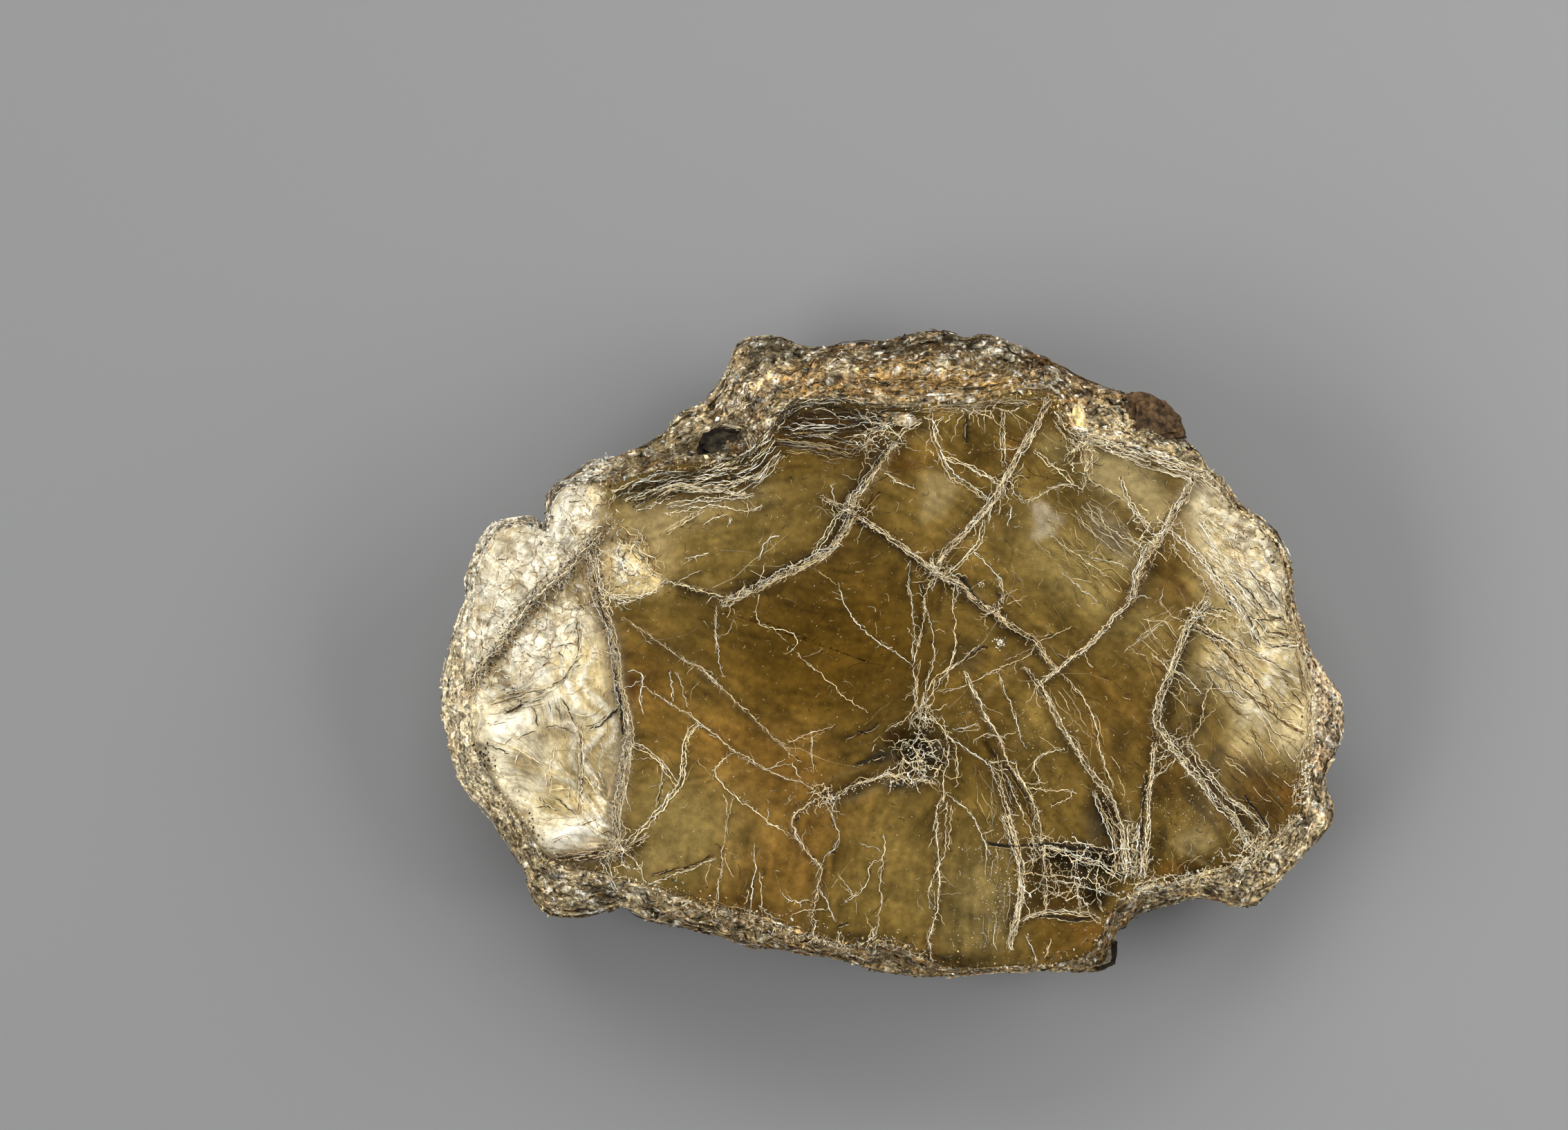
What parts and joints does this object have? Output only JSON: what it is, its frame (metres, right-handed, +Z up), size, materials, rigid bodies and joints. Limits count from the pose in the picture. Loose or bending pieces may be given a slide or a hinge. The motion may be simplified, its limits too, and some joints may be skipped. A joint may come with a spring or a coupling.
{
  "type": "vermiculite mineral specimen",
  "caption": "Weathered book of smoky brown mica-like sheets with raised frayed seams, crumpled pale foil at both ends and a crumbly laminated rim, lying flat.",
  "frame": {"origin": "middle of the flat underside that the specimen rests on, at the middle of its box in plan", "axes": "+Z up out of the cleavage face, +X along the longest side, +Y across the face towards the wide crumbly edge"},
  "size_m": [0.1, 0.0714, 0.0237],
  "materials": {
    "vermiculite": "Smoky brown to olive cleavage sheets with a soft glassy to pearly sheen, cream frayed seams, pale gold crumpled foil and a matt tan and grey-black granular rim."
  },
  "bodies": {
    "root": {"vermiculite_book": "vermiculite"}
  },
  "joints": []
}
